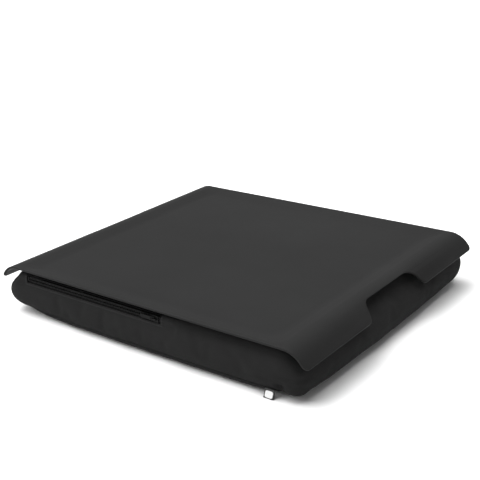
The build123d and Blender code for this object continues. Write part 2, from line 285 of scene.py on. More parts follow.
def named(name):
    """Names the primitive that was just added."""
    piece = bpy.context.object
    piece.name = name
    piece.data.name = name
    return piece


def seat(piece):
    """Puts the piece's place into its mesh, so that the object sits at the origin."""
    only(piece)
    bpy.ops.object.transform_apply(location=True, rotation=True, scale=True)
    return piece


def edit(piece):
    """Opens one piece in edit mode."""
    only(piece)
    bpy.ops.object.mode_set(mode="EDIT")


def done():
    """Leaves edit mode."""
    bpy.ops.object.mode_set(mode="OBJECT")


def face_outwards(merge=0):
    """In edit mode, merges all points closer than this, turns the faces outwards and leaves edit mode."""
    bpy.ops.mesh.select_all(action="SELECT")
    if merge:
        bpy.ops.mesh.remove_doubles(threshold=merge)
    bpy.ops.mesh.normals_make_consistent(inside=False)
    done()


def pick(piece, kind, chosen):
    """In edit mode, selects only the verts, edges or faces that are chosen."""
    bpy.ops.mesh.select_mode(type={"verts": "VERT", "edges": "EDGE", "faces": "FACE"}[kind])
    bpy.ops.mesh.select_all(action="DESELECT")
    mesh = bmesh.from_edit_mesh(piece.data)
    for part in getattr(mesh, kind):
        if chosen(part):
            part.select_set(True)
    mesh.select_flush_mode()
    bmesh.update_edit_mesh(piece.data)


def edited_verts(piece):
    """In edit mode, gives the points one by one, and updates the mesh after the last."""
    mesh = bmesh.from_edit_mesh(piece.data)
    yield from mesh.verts
    bmesh.update_edit_mesh(piece.data)


def modify(piece, kind, **settings):
    """Adds a modifier with these settings."""
    modifier = piece.modifiers.new(kind.lower(), kind)
    for key, value in settings.items():
        setattr(modifier, key, value)
    return modifier


def finish_with(piece, kind, **settings):
    """Adds a modifier with these settings and applies it."""
    only(piece)
    bpy.ops.object.modifier_apply(modifier=modify(piece, kind, **settings).name)


def smooth(piece, angle):
    """Smooth shading, with edges sharper than the angle kept crisp."""
    only(piece)
    bpy.ops.object.shade_smooth_by_angle(angle=math.radians(angle))


def placed(along_x, along_y, along_z, spot):
    """The matrix that turns a piece's axes to these ways and puts it at a spot."""
    turned = Matrix((along_x, along_y, along_z)).transposed()
    return Matrix.Translation(spot) @ turned.to_4x4()


def near(value, target, slack=same_length):
    """Whether two lengths are the same."""
    return abs(value - target) < slack


# Shader groups and materials


def put(tree, kind, inputs=None, **settings):
    """Adds a node with these settings; a socket given as an input is linked to it."""
    node = tree.nodes.new(kind)
    for key, value in settings.items():
        setattr(node, key, value)
    for key, value in (inputs or {}).items():
        if isinstance(value, bpy.types.NodeSocket):
            tree.links.new(value, node.inputs[key])
        else:
            node.inputs[key].default_value = value
    return node


def calc(tree, operation, *values):
    """The result of a Math node."""
    return put(tree, "ShaderNodeMath", dict(enumerate(values)), operation=operation).outputs[0]


def blend_of(tree, share, low, high):
    """A value between two, by share."""
    mixed = put(tree, "ShaderNodeMix", {"Factor": share, "A": low, "B": high}, data_type="FLOAT")
    return mixed.outputs["Result"]


def tinted(tree, share, greys):
    """A grey between two, by share, as a colour."""
    first, second = ((grey, grey, grey, 1) for grey in greys)
    return mixed_colours(tree, share, first, second)


def mixed_colours(tree, share, first, second):
    """A colour between two, by share."""
    sockets = {mix_share: share, mix_first: first, mix_second: second}
    return put(tree, "ShaderNodeMix", sockets, data_type="RGBA").outputs[mix_result]


def weighted(tree, *parts):
    """The sum of values, each times its share, from pairs of the two."""
    terms = [calc(tree, "MULTIPLY", value, share) for value, share in parts]
    total = terms[0]
    for term in terms[1:]:
        total = calc(tree, "ADD", total, term)
    return total


def noise_of(tree, vector, scale, detail, stretch=None):
    """Noise from 0 to 1, finer or coarser along some axes where that is given."""
    if stretch:
        vector = put(tree, "ShaderNodeMapping", {"Vector": vector, "Scale": stretch}).outputs[0]
    inputs = {"Vector": vector, "Scale": scale, "Detail": detail}
    return put(tree, "ShaderNodeTexNoise", inputs).outputs["Fac"]


def shader_group(name, values, results):
    """An empty shader group that takes a vector and these values, and the sockets at its two ends."""
    group = bpy.data.node_groups.new(name, "ShaderNodeTree")
    group.interface.new_socket("Vector", in_out="INPUT", socket_type="NodeSocketVector")
    for way, labels in (("INPUT", values), ("OUTPUT", results)):
        for label in labels:
            group.interface.new_socket(label, in_out=way, socket_type="NodeSocketFloat")
    return group, group.nodes.new("NodeGroupInput").outputs, group.nodes.new("NodeGroupOutput").inputs


def build_grain():
    """Fine sparked grain of a moulded or lacquered surface, and slow patches in its tone."""
    group, given, result = shader_group("surface_grain", ("Grain", "Patch"), ("Height", "Patches"))
    fine = noise_of(group, given["Vector"], given["Grain"], detail=3)
    coarse = noise_of(group, given["Vector"], calc(group, "MULTIPLY", given["Grain"], 0.37), detail=1)
    group.links.new(weighted(group, (fine, 0.65), (coarse, 0.35)), result["Height"])
    group.links.new(noise_of(group, given["Vector"], given["Patch"], detail=4), result["Patches"])
    return group


def build_weave():
    """Plain weave: warp and weft threads that pass over and under each other, at a pitch in metres."""
    group, given, result = shader_group("plain_weave", ("Pitch",), ("Height",))
    spread = put(group, "ShaderNodeVectorMath", {0: given["Vector"]}, operation="SCALE")
    group.links.new(calc(group, "DIVIDE", 1.0, given["Pitch"]), spread.inputs["Scale"])
    split = put(group, "ShaderNodeSeparateXYZ", {"Vector": spread.outputs[0]})

    def threads(across, along, turn):
        """The height of one set of threads, which pass over and under by turns."""
        crown = calc(group, "ABSOLUTE", calc(group, "SINE", calc(group, "MULTIPLY", across, math.pi)))
        phase = calc(group, "ADD", calc(group, "FLOOR", across), calc(group, "ADD", along, turn))
        wave = calc(group, "COSINE", calc(group, "MULTIPLY", phase, math.pi))
        lift = calc(group, "MULTIPLY_ADD", wave, 0.5, 0.5)
        return calc(group, "MULTIPLY", crown, lift)

    warp = threads(split.outputs["X"], split.outputs["Y"], 0.5)
    weft = threads(split.outputs["Y"], split.outputs["X"], 1.5)
    group.links.new(calc(group, "MAXIMUM", warp, weft), result["Height"])
    return group


def build_dust():
    """Sparse specks of dust over a tone."""
    group, given, result = shader_group("fine_dust", ("Tone", "Scale", "Amount"), ("Tone",))
    speck_share = 0.11
    cells = put(group, "ShaderNodeTexVoronoi", {"Vector": given["Vector"], "Scale": given["Scale"]})
    speck = calc(group, "LESS_THAN", cells.outputs["Distance"], speck_share)
    chance = put(group, "ShaderNodeSeparateColor", {"Color": cells.outputs["Color"]}).outputs[0]
    kept = calc(group, "LESS_THAN", chance, given["Amount"])
    dust = calc(group, "MULTIPLY", speck, kept)
    group.links.new(calc(group, "MAXIMUM", given["Tone"], dust), result["Tone"])
    return group


def use_group(tree, group, **inputs):
    """Places a shader group in a material."""
    return put(tree, "ShaderNodeGroup", inputs, node_tree=group).outputs


def new_material(name, roughness, specular=0.5, sheen=0.0):
    """A material with its fixed values, its node tree, its shader's sockets and the object's own axes."""
    material = bpy.data.materials.new(name)
    material.use_nodes = True
    tree = material.node_tree
    shader = tree.nodes["Principled BSDF"].inputs
    shader["Roughness"].default_value = roughness
    shader["Specular IOR Level"].default_value = specular
    shader["Sheen Weight"].default_value = sheen
    shader["Sheen Roughness"].default_value = 0.4
    return material, tree, shader, put(tree, "ShaderNodeTexCoord").outputs["Object"]


def surface(tree, shader, tone, greys, relief, depth, rubbed=None, roughness=None):
    """Links a tone between two greys, a relief and, where it changes, a roughness to the shader."""
    tree.links.new(tinted(tree, tone, greys), shader["Base Color"])
    bump = put(tree, "ShaderNodeBump", {"Height": relief, "Distance": depth})
    tree.links.new(bump.outputs["Normal"], shader["Normal"])
    if rubbed is not None:
        tree.links.new(blend_of(tree, rubbed, *roughness), shader["Roughness"])


def moulded_plastic():
    """The tray's black plastic: matt sparked grain, slow patches, faint handling marks and a little dust."""
    material, tree, shader, place = new_material("moulded_plastic", roughness=0.5, specular=0.042)
    grain = use_group(tree, surface_grain, Vector=place, Grain=2600.0, Patch=9.0)
    rubbed = noise_of(tree, place, scale=26.0, detail=5, stretch=(0.25, 1, 1))
    tone = weighted(tree, (grain["Patches"], 0.55), (rubbed, 0.3))
    tone = use_group(tree, fine_dust, Vector=place, Tone=tone, Scale=260.0, Amount=0.05)["Tone"]
    surface(tree, shader, tone, tray_greys, grain["Height"], tray_grain_depth, rubbed, tray_roughness)
    return material


def woven_cloth(name, pitch, greys, thread_depth, specular=0.1, unwrapped=True):
    """Plainly woven cloth with slightly uneven threads, which follow a UV map or the object's own axes."""
    material, tree, shader, place = new_material(name, roughness=0.88, specular=specular)
    along = put(tree, "ShaderNodeUVMap", uv_map="weave").outputs["UV"] if unwrapped else place
    weave = use_group(tree, plain_weave, Vector=along, Pitch=pitch)
    slubs = noise_of(tree, along, scale=60.0, detail=3, stretch=(1, 9, 1))
    patches = noise_of(tree, place, scale=14.0, detail=3)
    # The threads' crowns are painted paler and the hollows between them darker, as painted shade; the slubs
    # and patches are the cloth's own uneven tone.
    tone = weighted(tree, (weave["Height"], 0.5), (slubs, 0.25), (patches, 0.25))
    tone = use_group(tree, fine_dust, Vector=place, Tone=tone, Scale=420.0, Amount=0.04)["Tone"]
    surface(tree, shader, tone, greys, weave["Height"], thread_depth, slubs, cloth_roughness)
    return material


def liner_fabric():
    """Pale spun cloth, pressed with small dimples."""
    material, tree, shader, place = new_material("liner_fabric", roughness=0.9, specular=0.2)
    dimples = put(tree, "ShaderNodeTexVoronoi", {"Vector": place, "Scale": 700.0}).outputs["Distance"]
    fibres = noise_of(tree, place, scale=1500.0, detail=4)
    surface(tree, shader, fibres, liner_greys, calc(tree, "ADD", dimples, fibres), dimple_depth)
    return material


def bead_foam():
    """White foamed beads, a few millimetres across, packed together."""
    material, tree, shader, place = new_material("bead_foam", roughness=0.8, specular=0.3)
    cells = put(tree, "ShaderNodeTexVoronoi", {"Vector": place, "Scale": 260.0})
    round_top = calc(tree, "SUBTRACT", 1.0, cells.outputs["Distance"])
    # Each bead is painted white at its middle and greyer towards the gaps between beads, as painted shade.
    surface(tree, shader, cells.outputs["Distance"], bead_greys_and_gap_shade, round_top, bead_round)
    return material


def fastener_tape(name, greys, scale, depth, ordered):
    """Hook or loop tape: rows of stiff hooks, or a felt of fine loops."""
    material, tree, shader, place = new_material(
        name, roughness=0.75, specular=0.3, sheen=0.0 if ordered else 0.3,
    )
    if ordered:
        split = put(tree, "ShaderNodeSeparateXYZ", {"Vector": place})
        rows = [calc(tree, "SINE", calc(tree, "MULTIPLY", split.outputs[axis], scale)) for axis in ("X", "Y")]
        height = calc(tree, "MAXIMUM", calc(tree, "MULTIPLY", *rows), 0.0)
    else:
        height = noise_of(tree, place, scale, detail=6)
    matting = noise_of(tree, place, scale=90.0, detail=4)
    # The tops of the hooks or loops are painted paler and the hollows between them darker, as painted shade;
    # the matting is the tape's own uneven tone.
    tone = weighted(tree, (height, 0.7), (matting, 0.3))
    surface(tree, shader, tone, greys, height, depth, matting, tape_roughness)
    return material


def hard_black(name, greys, roughness, specular=0.5):
    """Black nylon, thread, or the lacquer of the zip's metal, a little paler in patches."""
    material, tree, shader, place = new_material(name, roughness, specular=specular)
    grain = use_group(tree, surface_grain, Vector=place, Grain=1800.0, Patch=160.0)
    patches = grain["Patches"]
    rubbed = (roughness - 0.1, roughness + 0.1)
    surface(tree, shader, patches, greys, grain["Height"], hard_grain_depth, patches, rubbed)
    return material


def ribbon_weave():
    """The label's black satin ribbon, with a plain pale bar woven across its front."""
    material, tree, shader, place = new_material("ribbon_weave", roughness=0.6, specular=0.3, sheen=0.1)
    weave = use_group(tree, plain_weave, Vector=place, Pitch=ribbon_pitch)
    split = put(tree, "ShaderNodeSeparateXYZ", {"Vector": place})
    low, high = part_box("label_loop")

    def off(axis, centre, half):
        """The fourth power of how far a point is from the bar's middle, in halves of the bar."""
        apart = calc(tree, "SUBTRACT", split.outputs[axis], centre)
        return calc(tree, "POWER", calc(tree, "DIVIDE", apart, half), 4.0)

    reach = calc(
        tree, "ADD", off("X", (low.x + high.x) / 2, bar_half_width), off("Z", bar_height, bar_half_height),
    )
    in_bar = calc(tree, "LESS_THAN", reach, 1.0)
    in_front = calc(tree, "LESS_THAN", split.outputs["Y"], low.y + bar_depth)
    bar = calc(tree, "MULTIPLY", in_bar, in_front)
    # The black ribbon and the pale bar are both painted paler on the threads' crowns and darker between them,
    # as painted shade.
    surface(tree, shader, weave["Height"], ribbon_greys_and_weave_shade, weave["Height"], ribbon_thread_depth)
    pale = tinted(tree, weave["Height"], bar_greys_and_weave_shade)
    black = shader["Base Color"].links[0].from_socket
    tree.links.new(mixed_colours(tree, bar, black, pale), shader["Base Color"])
    return material


# Tray


def tray_sheet():
    """The tray's upper surface: dish floor, slope and rim as rings, then a wing spun down at each end."""
    slope_turn = math.atan(dish_depth / dish_slope)
    floor_half = Vector((crest_half - rim_width - dish_slope, tray_half_depth - rim_width - dish_slope))
    clear_selection()
    bpy.ops.mesh.primitive_plane_add(size=2, location=(0, 0, tray_top - dish_depth))
    sheet = named("tray_shell")
    sheet.scale = (floor_half.x, floor_half.y, 1)
    seat(sheet)
    edit(sheet)
    pick(sheet, "verts", lambda vert: True)
    bpy.ops.mesh.bevel(offset=dish_corner, segments=12, affect="VERTICES")
    # Each ring outward moves every point by the same step away from the middle lines
    for step, rise in ((dish_slope, dish_depth), (rim_width, 0)):
        pick(sheet, "edges", lambda edge: edge.is_boundary)
        bpy.ops.mesh.extrude_edges_move(TRANSFORM_OT_translate={"value": (0, 0, rise)})
        for vert in edited_verts(sheet):
            if vert.select:
                vert.co.x += math.copysign(step, vert.co.x)
                vert.co.y += math.copysign(step, vert.co.y)
    # The rim's rounded corners are drawn out square, to the ends of the side edges and the crests
    for vert in edited_verts(sheet):
        if vert.is_boundary:
            along = crest_half - abs(vert.co.x)
            across = tray_half_depth - abs(vert.co.y)
            drawn = min(along, across)
            vert.co.x = math.copysign(crest_half - (along - drawn), vert.co.x)
            vert.co.y = math.copysign(tray_half_depth - (across - drawn), vert.co.y)

    def on_ring(edge, half, height):
        """Whether an edge lies on the rounded rectangle with these half sizes, at this height."""
        by_ring = dish_corner + MM
        return not edge.is_boundary and all(
            near(end.z, height)
            and abs(end.x) < half.x + same_length and abs(end.y) < half.y + same_length
            and (near(abs(end.x), half.x, by_ring) or near(abs(end.y), half.y, by_ring))
            for end in (vert.co for vert in edge.verts)
        )

    top_half = floor_half + Vector((dish_slope, dish_slope))
    pick(sheet, "edges", lambda edge: on_ring(edge, top_half, tray_top))
    bpy.ops.mesh.bevel(offset=dish_top_round * math.tan(slope_turn / 2), segments=6, affect="EDGES")
    pick(sheet, "edges", lambda edge: on_ring(edge, floor_half, tray_top - dish_depth))
    bpy.ops.mesh.bevel(offset=dish_floor_round * math.tan(slope_turn / 2), segments=8, affect="EDGES")
    for side in (1, -1):
        pick(sheet, "edges", lambda edge: edge.is_boundary and all(
            near(vert.co.x, side * crest_half) for vert in edge.verts))
        bpy.ops.mesh.spin(
            steps=16,
            angle=wing_angle,
            center=(side * crest_half, 0, tray_top - wing_radius),
            axis=(0, -side, 0),
        )
        straight = (side * wing_straight * math.cos(wing_angle), 0, -wing_straight * math.sin(wing_angle))
        bpy.ops.mesh.extrude_edges_move(TRANSFORM_OT_translate={"value": straight})
    face_outwards(merge=same_point)
    return sheet


def cutter_outline(name, corners):
    """A flat face with this outline, across and up from the middle of the wing's tip, left in edit mode."""
    clear_selection()
    bpy.ops.mesh.primitive_circle_add(vertices=len(corners), fill_type="NGON")
    cutter = named(name)
    edit(cutter)
    for vert, (x, y) in zip(edited_verts(cutter), corners):
        vert.co = (x, y, 0)
    return cutter


def stand_on_wing(cutter, side):
    """Makes the face in edit mode a prism, square to the straight part of one wing."""
    out = Vector((side * math.sin(wing_angle), 0, math.cos(wing_angle)))
    up_wing = Vector((-side * math.cos(wing_angle), 0, math.sin(wing_angle)))
    tip_height = tray_top - wing_radius * (1 - math.cos(wing_angle)) - wing_straight * math.sin(wing_angle)
    wing_tip = Vector((side * wing_half_length, 0, tip_height))
    pick(cutter, "faces", lambda face: True)
    bpy.ops.mesh.extrude_region_move(TRANSFORM_OT_translate={"value": (0, 0, 2 * cutter_reach)})
    bpy.ops.mesh.select_all(action="SELECT")
    bpy.ops.transform.translate(value=(0, 0, -cutter_reach))
    face_outwards()
    cutter.matrix_world = placed(up_wing.cross(out), up_wing, out, wing_tip)
    return seat(cutter)


def grip_cutter(side):
    """A prism of the hand grip's outline."""
    half = grip_width / 2
    right_side = (
        (half - grip_flare, grip_depth), (half, -cutter_slack),
        (half + cutter_overrun, -cutter_slack), (half + cutter_overrun, -cutter_overrun),
    )
    cutter = cutter_outline("grip_cutter", [*right_side, *((-x, y) for x, y in reversed(right_side))])
    half_turn = (math.pi / 2 - math.atan(grip_flare / grip_depth)) / 2
    for height, radius in ((grip_depth, grip_inner_round), (-cutter_slack, grip_outer_round)):
        pick(cutter, "verts", lambda vert: near(vert.co.y, height) and abs(vert.co.x) < half + MM)
        bpy.ops.mesh.bevel(offset=radius * math.tan(half_turn), segments=10, affect="VERTICES")
    return stand_on_wing(cutter, side)


def corner_cutter(side, end):
    """A prism of what the rounding takes off one corner of a wing."""
    inner = tray_half_depth - wing_corner
    arc = [
        (inner + wing_corner * math.cos(turn), wing_corner * (1 - math.sin(turn)))
        for turn in np.linspace(0, math.pi / 2, 10)[1:-1]
    ]
    past_side = tray_half_depth + cutter_overrun
    corners = [
        (past_side, wing_corner), (tray_half_depth + cutter_slack, wing_corner), *arc, (inner, -cutter_slack),
        (inner, -cutter_overrun), (past_side, -cutter_overrun),
    ]
    return stand_on_wing(cutter_outline("corner_cutter", [(end * x, y) for x, y in corners]), side)


def make_tray(material):
    """The tray panel: the sheet gets its wall, its hand grips, its rounded corners and its eased edges."""
    tray = tray_sheet()
    finish_with(tray, "SOLIDIFY", thickness=tray_wall, offset=-1, use_even_offset=True)
    for side in (1, -1):
        for cutter in (grip_cutter(side), corner_cutter(side, 1), corner_cutter(side, -1)):
            finish_with(tray, "BOOLEAN", object=cutter, operation="DIFFERENCE", solver="EXACT")
            bpy.data.objects.remove(cutter)
    finish_with(
        tray, "BEVEL", width=edge_round, segments=3, limit_method="ANGLE",
        angle_limit=sharp_edge, use_clamp_overlap=False,
    )
    edit(tray)
    face_outwards(merge=same_length)
    smooth(tray, angle=35)
    return finish_piece(tray, material, "tray_plastic", "tray", "tray_panel")


# Cushion


def reach_along(loop):
    """How far along a line of points each point is."""
    return np.concatenate([[0], np.cumsum(np.hypot(*np.diff(loop, axis=0).T))])


def outline_points(half_length, half_depth, corner, bow, count):
    """Evenly spaced points round a bowed rectangle with round corners, from the middle of its right end."""
    stretch_points = 60
    share = np.linspace(0, 1, stretch_points)
    spot_x = half_length - bow * ((half_depth - corner) / half_depth) ** 2 - corner
    spot_y = half_depth - bow * ((half_length - corner) / half_length) ** 2 - corner
    up_end = spot_y * share
    along_side = spot_x * (1 - share)
    turn = share * math.pi / 2
    quarter = np.concatenate([
        np.column_stack([half_length - bow * (up_end / half_depth) ** 2, up_end]),
        np.column_stack([spot_x + corner * np.cos(turn), spot_y + corner * np.sin(turn)])[1:-1],
        np.column_stack([along_side, half_depth - bow * (along_side / half_length) ** 2]),
    ])
    half = np.concatenate([quarter, quarter[-2::-1] * (-1, 1)])
    loop = np.concatenate([half, half[-2::-1] * (1, -1)])
    reach = reach_along(loop)
    stops = np.linspace(0, reach[-1], count, endpoint=False)
    return np.column_stack([np.interp(stops, reach, loop[:, axis]) for axis in (0, 1)])


def cushion_rings(skin, count):
    """Rings of points up the cushion's side and in over its pressed top, drawn in by skin."""
    shares = np.array(cushion_level_shares)
    rise = border_top - 2 * skin
    rings = []
    for step in np.linspace(0, 1, side_levels):
        # The first levels are close together, where the underside turns up
        height_share = step**1.5
        length_share, depth_share, corner_share, bow_share = (
            np.interp(height_share, shares[:, 0], shares[:, column]) for column in range(1, 5)
        )
        ring = outline_points(
            cushion_half_length * length_share - skin,
            cushion_half_depth * depth_share - skin,
            cushion_corner * corner_share - skin,
            cushion_corner * bow_share,
            count,
        )
        rings.append((ring, skin + rise * height_share))
    for inset, height in ((0, border_top), (pressed_slope, pressed_top), (flat_inset, pressed_top)):
        ring = outline_points(pressed_half_length - inset, pressed_half_depth - inset, dish_corner, 0, count)
        rings.append((ring, height - skin))
    return rings


def roll_grid(name, rows, columns, place_of):
    """A grid whose points are put by their row and column, left in edit mode with all of it selected."""
    clear_selection()
    bpy.ops.mesh.primitive_grid_add(x_subdivisions=columns, y_subdivisions=rows, size=2)
    piece = named(name)
    edit(piece)
    for vert in edited_verts(piece):
        vert.co = place_of(round((vert.co.y + 1) / 2 * rows), round((vert.co.x + 1) / 2 * columns))
    bpy.ops.mesh.select_all(action="SELECT")
    return piece


def cushion_solid(name, skin):
    """The cushion's closed form: a grid rolled round its outline, level by level, and closed at both ends."""
    rings = cushion_rings(skin, outline_count)

    def place_of(row, column):
        """A point of one level, by its place round the outline."""
        ring, height = rings[row]
        return (*ring[column % outline_count], height)

    solid = roll_grid(name, len(rings) - 1, outline_count, place_of)
    bpy.ops.mesh.remove_doubles(threshold=same_point)
    for height in (rings[0][1], rings[-1][1]):
        pick(solid, "edges", lambda edge: edge.is_boundary and near(edge.verts[0].co.z, height))
        bpy.ops.mesh.edge_face_add()
    face_outwards()
    return solid


def points_of(piece):
    """The places and normals of a mesh's points."""
    vertices = piece.data.vertices
    found = np.empty((2, 3 * len(vertices)))
    vertices.foreach_get("co", found[0])
    vertices.foreach_get("normal", found[1])
    return found.reshape(2, -1, 3)


def move_points(piece, spots):
    """Puts a mesh's points at new places."""
    piece.data.vertices.foreach_set("co", spots.reshape(-1))
    piece.data.update()


def puff(piece):
    """Blows the cover up like filled cloth, held where the tray presses on it and where it rests."""
    before, normals = points_of(piece)
    held = np.maximum(
        np.clip((before[:, 2] - held_from) / held_fade, 0, 1),
        np.clip((resting_below - before[:, 2]) / resting_fade, 0, 1),
    )
    group = piece.vertex_groups.new(name="held")
    for index in np.flatnonzero(held > 0):
        group.add([int(index)], float(held[index]), "REPLACE")
    modifier = piece.modifiers.new("cloth", "CLOTH")
    for key, value in {
        "quality": 5,
        "mass": 0.3,
        "tension_stiffness": 15,
        "compression_stiffness": 15,
        "bending_stiffness": 0.5,
        "use_pressure": True,
        "uniform_pressure_force": cover_pressure,
        "shrink_min": -0.008,
        "vertex_group_mass": "held",
        "pin_stiffness": 1,
    }.items():
        setattr(modifier.settings, key, value)
    modifier.settings.effector_weights.gravity = 0
    scene = bpy.context.scene
    last_frame = 20
    for timed in (modifier.point_cache, scene):
        timed.frame_start = 1
        timed.frame_end = last_frame
    for frame_number in range(1, last_frame + 1):
        scene.frame_set(frame_number)
    only(piece)
    bpy.ops.object.modifier_apply(modifier=modifier.name)
    scene.frame_set(1)
    after, _ = points_of(piece)
    way = after - before
    # Filled with beads, the cloth draws in far less than it swells
    drawn_in = np.minimum((way * normals).sum(axis=1), 0)
    way -= normals * ((1 - drawn_in_share) * drawn_in)[:, None]
    far = np.linalg.norm(way, axis=1)
    keep = np.where(far > swell_cap, swell_cap / np.maximum(far, 1e-9), 1)
    move_points(piece, before + way * keep[:, None])


def swell(share, start, stop):
    """0 before start, 1 after stop, smooth between."""
    part = np.clip((share - start) / (stop - start), 0, 1)
    return part * part * (3 - 2 * part)


def bump_at(spots, middle_spot, reach):
    """1 at a place, falling smoothly to nothing at its reach, which is given for each axis."""
    off = (spots - np.array(middle_spot)) / np.array(reach)
    return np.clip(1 - (off**2).sum(axis=1), 0, 1) ** 2


def lumps(spots, size, seed):
    """Soft noise, one value for each point, with lumps of about the given size."""
    offset = Vector((seed, 2 * seed, 3 * seed))
    return np.array([noise.noise(Vector(spot) / size + offset) for spot in spots])


def past_pressed(x, y):
    """Whether places lie outside the part of the cover that the tray presses on, seen from above."""
    return (abs(x) > pressed_half_length) | (abs(y) > pressed_half_depth)


def draw_cover(skin):
    """The cover's own relief: bead lumps, drawn-in seams and the gathered corner beside the label."""
    spots, normals = points_of(skin)
    height = spots[:, 2]
    open_side = swell(height, *lumps_begin) * (1 - swell(height, *lumps_end))
    rise = sum(lump * lumps(spots, size, seed) for lump, size, seed in bead_lumps) * open_side
    outer = past_pressed(spots[:, 0], spots[:, 1])
    for seam, depth, reach in drawn_seams:
        rise -= depth * np.exp(-(((height - seam) / reach) ** 2)) * outer
    # Short gathers run up and down from the bottom seam
    along = np.arctan2(spots[:, 1], spots[:, 0]) * cushion_half_length
    gathers = np.sin(along / gather_pitch + 5 * lumps(spots, *gather_wander))
    rise += gather_rise * gathers * np.exp(-(((height - bottom_seam) / gather_reach) ** 2)) * outer
    for middle_spot, reach, depth in corner_folds:
        rise += depth * bump_at(spots, middle_spot, reach)
    spots += normals * rise[:, None]
    spots[:, 2] = np.maximum(spots[:, 2], 0)
    # The near side leans in under the tray's rim, but not where the zip holds it
    near_side = swell(-spots[:, 1], *lean_depths)
    past_zip = swell(spots[:, 0], *(tape_high.x + past for past in lean_past_zip))
    spots[:, 1] += lean_in * near_side * past_zip * swell(spots[:, 2], *lean_heights)
    # Nothing stands proud of the zip's pull, wherever it slides or swings
    pull_low, pull_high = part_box("zip_pull")
    pull_reach = pull_high.x - pull_low.x
    past_ends = np.maximum(tape_low.x - pull_reach - spots[:, 0], spots[:, 0] - tape_high.x - pull_reach)
    below = pull_low.z - pull_below - spots[:, 2]
    limit = pull_high.y + pull_behind - pull_slope * (np.maximum(past_ends, 0) + np.maximum(below, 0))
    spots[:, 1] = np.where(spots[:, 1] < 0, np.maximum(spots[:, 1], limit), spots[:, 1])
    move_points(skin, spots)


def cut(piece, axis, height, chosen):
    """Cuts the chosen faces along the plane square to one axis, at this height on it."""
    normal = Vector(axis)
    edit(piece)
    pick(piece, "faces", chosen)
    bpy.ops.mesh.bisect(plane_co=normal * height, plane_no=normal)
    done()


def is_outer(face):
    """Whether a face lies outside the part of the cover that the tray presses on."""
    spot = face.calc_center_median()
    return past_pressed(spot.x, spot.y) or spot.z < border_top / 2


def near_wall(face):
    """Whether a face lies on the near side, round the zip."""
    spot = face.calc_center_median()
    margin = 12 * MM
    beside = tape_low.x - margin < spot.x < tape_high.x + margin
    facing_out = face.normal.y < -0.3
    return facing_out and beside and spot.z > zip_height - margin


def copy_of(piece, name):
    """A copy of a piece, with its own mesh."""
    only(piece)
    bpy.ops.object.duplicate()
    return named(name)


def drop_faces(piece, chosen):
    """Deletes the chosen faces."""
    edit(piece)
    pick(piece, "faces", chosen)
    bpy.ops.mesh.delete(type="FACE")
    done()


def cover_panels(skin):
    """The cover's three panels, cut apart along its two seams, which lie in shallow grooves."""
    for seam, _ in seam_grooves:
        for step in (-seam_step, 0, seam_step):
            cut(skin, (0, 0, 1), seam + step, is_outer)
    spots, normals = points_of(skin)
    for seam, depth in seam_grooves:
        on_seam = (abs(spots[:, 2] - seam) < groove_reach) & past_pressed(spots[:, 0], spots[:, 1])
        spots -= normals * (depth * on_seam)[:, None]
    move_points(skin, spots)

    def part_of(face):
        """The panel that a face belongs to."""
        height = face.calc_center_median().z
        if height < bottom_seam:
            return "cover_bottom"
        return "cover_side" if is_outer(face) and height < top_seam else "cover_top"

    panels = {}
    for name in cover_nodes:
        panels[name] = copy_of(skin, name)
        drop_faces(panels[name], lambda face: part_of(face) != name)
    return panels


def open_zip_window(band):
    """The zip's window in the side panel, with its edges folded in as far as the tapes."""
    for height in (window_low, window_high):
        cut(band, (0, 0, 1), height, near_wall)
    for end in (window_left, window_right):
        cut(band, (1, 0, 0), end, near_wall)

    def inside(spot, slack=0):
        """Whether a place lies in the window."""
        beside = window_left - slack < spot.x < window_right + slack
        return beside and window_low - slack < spot.z < window_high + slack and spot.y < 0

    drop_faces(band, lambda face: inside(face.calc_center_median()))
    edit(band)
    pick(band, "edges", lambda edge: edge.is_boundary and all(
        inside(vert.co, 5 * same_length) for vert in edge.verts))
    # The edge turns in by two steps, so that it looks soft
    for share in (0.35, 1.0):
        bpy.ops.mesh.extrude_edges_move()
        for vert in edited_verts(band):
            if vert.select:
                vert.co.y += (zip_face - vert.co.y) * share
    done()


def wrap_weave(piece, flat):
    """A UV map in metres for the weave: flat panels from above, the side panel round the outline and up."""
    layer = piece.data.uv_layers.new(name="weave")
    corners = np.empty(len(piece.data.loops), dtype=np.int32)
    piece.data.loops.foreach_get("vertex_index", corners)
    spots, _ = points_of(piece)
    if flat:
        spread = spots[:, :2]
    else:
        loop = outline_points(cushion_half_length, cushion_half_depth, cushion_corner, bow=MM, count=720)
        turns = np.unwrap(np.arctan2(loop[:, 1], loop[:, 0]))
        turn = np.arctan2(spots[:, 1], spots[:, 0]) % (2 * math.pi)
        spread = np.column_stack([np.interp(turn, turns, reach_along(loop)), spots[:, 2]])
    layer.data.foreach_set("uv", spread[corners].astype(np.float32).reshape(-1))


def make_cover(cloth):
    """The cushion's cover: one skin is puffed and shaped, then cut into its three panels."""
    skin = cushion_solid("cover_skin", skin_inset)
    finish_with(skin, "REMESH", mode="VOXEL", voxel_size=cover_voxel)
    puff(skin)
    finish_with(skin, "SUBSURF", levels=1, render_levels=1)
    draw_cover(skin)
    liner = copy_of(skin, "liner_cloth_bag")
    panels = cover_panels(skin)
    bpy.data.objects.remove(skin)
    open_zip_window(panels["cover_side"])
    for name, panel in panels.items():
        finish_with(panel, "SOLIDIFY", thickness=cover_thick, offset=-1, use_even_offset=False)
        wrap_weave(panel, name != "cover_side")
        smooth(panel, angle=50)
        finish_piece(panel, cloth, "cover_cloth", "cushion", cover_nodes[name])
    return panels, liner


